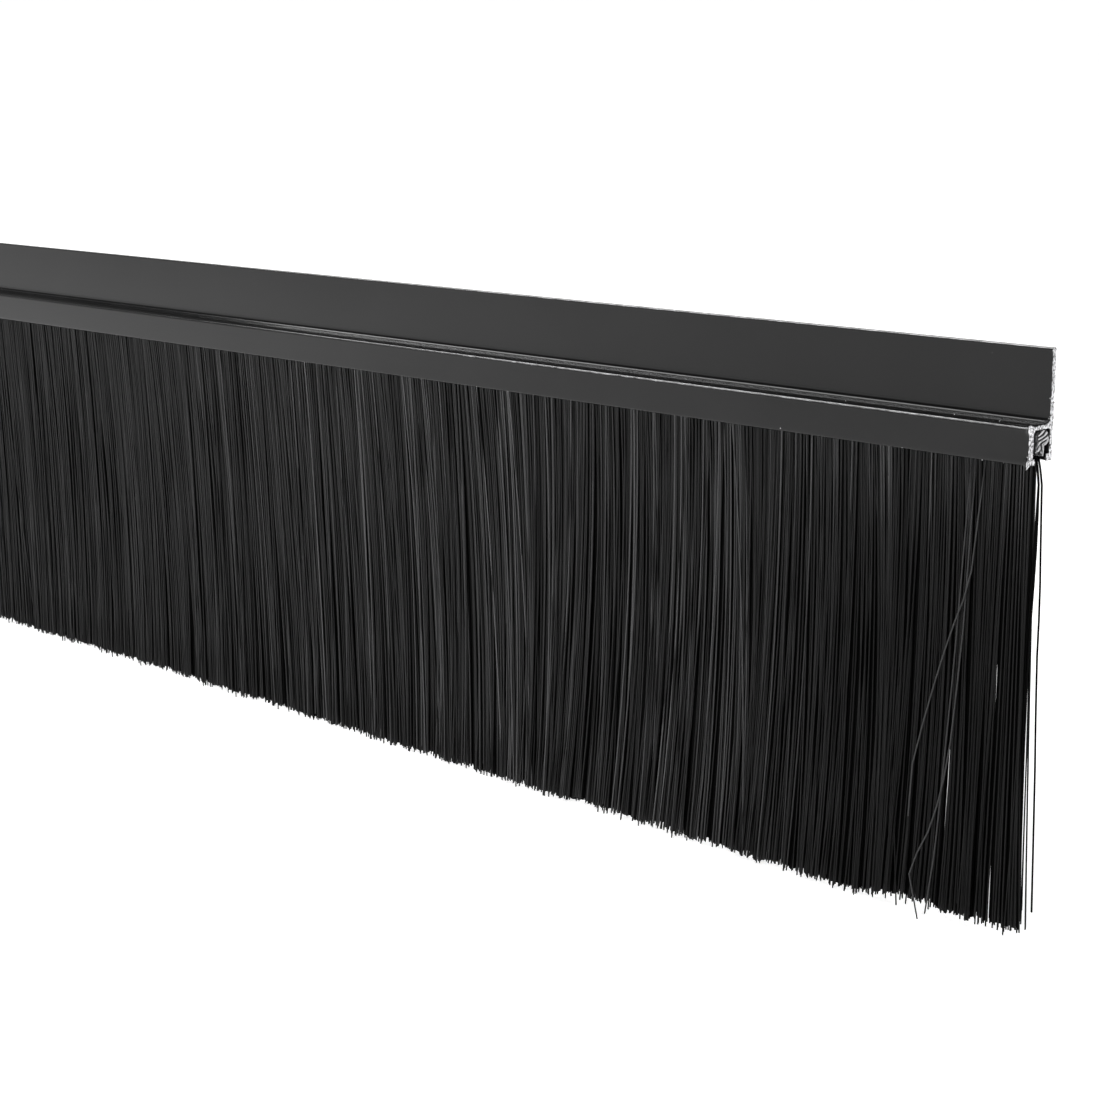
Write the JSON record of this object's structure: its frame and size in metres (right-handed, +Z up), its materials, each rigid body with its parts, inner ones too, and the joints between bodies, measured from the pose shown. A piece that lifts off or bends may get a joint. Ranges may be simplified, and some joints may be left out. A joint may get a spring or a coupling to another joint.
{
  "type": "door sweep",
  "caption": "Long brush-strip door sweep: black h-section aluminium carrier with a flat fixing flange, holding a metal-backed strip brush with a tall curtain of black filaments.",
  "frame": {"origin": "middle of the carrier's flat back face, which lies against the door", "axes": "+X along the strip, +Y out of the back face towards the door, +Z up, filaments hang down -Z"},
  "size_m": [1, 0.0088, 0.1228],
  "materials": {
    "carrier_black": "satin black anodised, bare metal on the sawn ends",
    "backing_steel": "galvanised",
    "wire_steel": "drawn wire",
    "filament_black": "extruded filament, slight sheen"
  },
  "bodies": {
    "carrier": {"carrier_profile": "carrier_black"},
    "strip_brush": {"brush_backing": "backing_steel", "core_wire": "wire_steel", "bristle_root": "filament_black"},
    "curtain_01": {"bristle_segment_01": "filament_black"},
    "curtain_02": {"bristle_segment_02": "filament_black"},
    "curtain_03": {"bristle_segment_03": "filament_black"},
    "curtain_04": {"bristle_segment_04": "filament_black"},
    "curtain_05": {"bristle_segment_05": "filament_black"},
    "curtain_06": {"bristle_segment_06": "filament_black"},
    "curtain_07": {"bristle_segment_07": "filament_black"},
    "curtain_08": {"bristle_segment_08": "filament_black"},
    "curtain_09": {"bristle_segment_09": "filament_black"},
    "curtain_10": {"bristle_segment_10": "filament_black"},
    "curtain_11": {"bristle_segment_11": "filament_black"},
    "curtain_12": {"bristle_segment_12": "filament_black"},
    "curtain_13": {"bristle_segment_13": "filament_black"},
    "curtain_14": {"bristle_segment_14": "filament_black"},
    "curtain_15": {"bristle_segment_15": "filament_black"},
    "curtain_16": {"bristle_segment_16": "filament_black"},
    "curtain_17": {"bristle_segment_17": "filament_black"},
    "curtain_18": {"bristle_segment_18": "filament_black"},
    "curtain_19": {"bristle_segment_19": "filament_black"},
    "curtain_20": {"bristle_segment_20": "filament_black"}
  },
  "joints": [
    {"name": "brush_slide", "type": "slide", "parent": "carrier", "child": "strip_brush", "axis": [1, 0, 0], "range_m": [0, 1]},
    {"name": "bristle_flex_01", "type": "hinge", "parent": "strip_brush", "child": "curtain_01", "pos_m": [0, -0.0047, -0.0144], "axis": [1, 0, 0], "range_deg": [-45, 45], "stiffness_Nm_per_rad": 0.018},
    {"name": "bristle_flex_02", "type": "hinge", "parent": "strip_brush", "child": "curtain_02", "pos_m": [0, -0.0047, -0.0144], "axis": [1, 0, 0], "range_deg": [-45, 45], "stiffness_Nm_per_rad": 0.018},
    {"name": "bristle_flex_03", "type": "hinge", "parent": "strip_brush", "child": "curtain_03", "pos_m": [0, -0.0047, -0.0144], "axis": [1, 0, 0], "range_deg": [-45, 45], "stiffness_Nm_per_rad": 0.018},
    {"name": "bristle_flex_04", "type": "hinge", "parent": "strip_brush", "child": "curtain_04", "pos_m": [0, -0.0047, -0.0144], "axis": [1, 0, 0], "range_deg": [-45, 45], "stiffness_Nm_per_rad": 0.018},
    {"name": "bristle_flex_05", "type": "hinge", "parent": "strip_brush", "child": "curtain_05", "pos_m": [0, -0.0047, -0.0144], "axis": [1, 0, 0], "range_deg": [-45, 45], "stiffness_Nm_per_rad": 0.018},
    {"name": "bristle_flex_06", "type": "hinge", "parent": "strip_brush", "child": "curtain_06", "pos_m": [0, -0.0047, -0.0144], "axis": [1, 0, 0], "range_deg": [-45, 45], "stiffness_Nm_per_rad": 0.018},
    {"name": "bristle_flex_07", "type": "hinge", "parent": "strip_brush", "child": "curtain_07", "pos_m": [0, -0.0047, -0.0144], "axis": [1, 0, 0], "range_deg": [-45, 45], "stiffness_Nm_per_rad": 0.018},
    {"name": "bristle_flex_08", "type": "hinge", "parent": "strip_brush", "child": "curtain_08", "pos_m": [0, -0.0047, -0.0144], "axis": [1, 0, 0], "range_deg": [-45, 45], "stiffness_Nm_per_rad": 0.018},
    {"name": "bristle_flex_09", "type": "hinge", "parent": "strip_brush", "child": "curtain_09", "pos_m": [0, -0.0047, -0.0144], "axis": [1, 0, 0], "range_deg": [-45, 45], "stiffness_Nm_per_rad": 0.018},
    {"name": "bristle_flex_10", "type": "hinge", "parent": "strip_brush", "child": "curtain_10", "pos_m": [0, -0.0047, -0.0144], "axis": [1, 0, 0], "range_deg": [-45, 45], "stiffness_Nm_per_rad": 0.018},
    {"name": "bristle_flex_11", "type": "hinge", "parent": "strip_brush", "child": "curtain_11", "pos_m": [0, -0.0047, -0.0144], "axis": [1, 0, 0], "range_deg": [-45, 45], "stiffness_Nm_per_rad": 0.018},
    {"name": "bristle_flex_12", "type": "hinge", "parent": "strip_brush", "child": "curtain_12", "pos_m": [0, -0.0047, -0.0144], "axis": [1, 0, 0], "range_deg": [-45, 45], "stiffness_Nm_per_rad": 0.018},
    {"name": "bristle_flex_13", "type": "hinge", "parent": "strip_brush", "child": "curtain_13", "pos_m": [0, -0.0047, -0.0144], "axis": [1, 0, 0], "range_deg": [-45, 45], "stiffness_Nm_per_rad": 0.018},
    {"name": "bristle_flex_14", "type": "hinge", "parent": "strip_brush", "child": "curtain_14", "pos_m": [0, -0.0047, -0.0144], "axis": [1, 0, 0], "range_deg": [-45, 45], "stiffness_Nm_per_rad": 0.018},
    {"name": "bristle_flex_15", "type": "hinge", "parent": "strip_brush", "child": "curtain_15", "pos_m": [0, -0.0047, -0.0144], "axis": [1, 0, 0], "range_deg": [-45, 45], "stiffness_Nm_per_rad": 0.018},
    {"name": "bristle_flex_16", "type": "hinge", "parent": "strip_brush", "child": "curtain_16", "pos_m": [0, -0.0047, -0.0144], "axis": [1, 0, 0], "range_deg": [-45, 45], "stiffness_Nm_per_rad": 0.018},
    {"name": "bristle_flex_17", "type": "hinge", "parent": "strip_brush", "child": "curtain_17", "pos_m": [0, -0.0047, -0.0144], "axis": [1, 0, 0], "range_deg": [-45, 45], "stiffness_Nm_per_rad": 0.018},
    {"name": "bristle_flex_18", "type": "hinge", "parent": "strip_brush", "child": "curtain_18", "pos_m": [0, -0.0047, -0.0144], "axis": [1, 0, 0], "range_deg": [-45, 45], "stiffness_Nm_per_rad": 0.018},
    {"name": "bristle_flex_19", "type": "hinge", "parent": "strip_brush", "child": "curtain_19", "pos_m": [0, -0.0047, -0.0144], "axis": [1, 0, 0], "range_deg": [-45, 45], "stiffness_Nm_per_rad": 0.018},
    {"name": "bristle_flex_20", "type": "hinge", "parent": "strip_brush", "child": "curtain_20", "pos_m": [0, -0.0047, -0.0144], "axis": [1, 0, 0], "range_deg": [-45, 45], "stiffness_Nm_per_rad": 0.018}
  ]
}
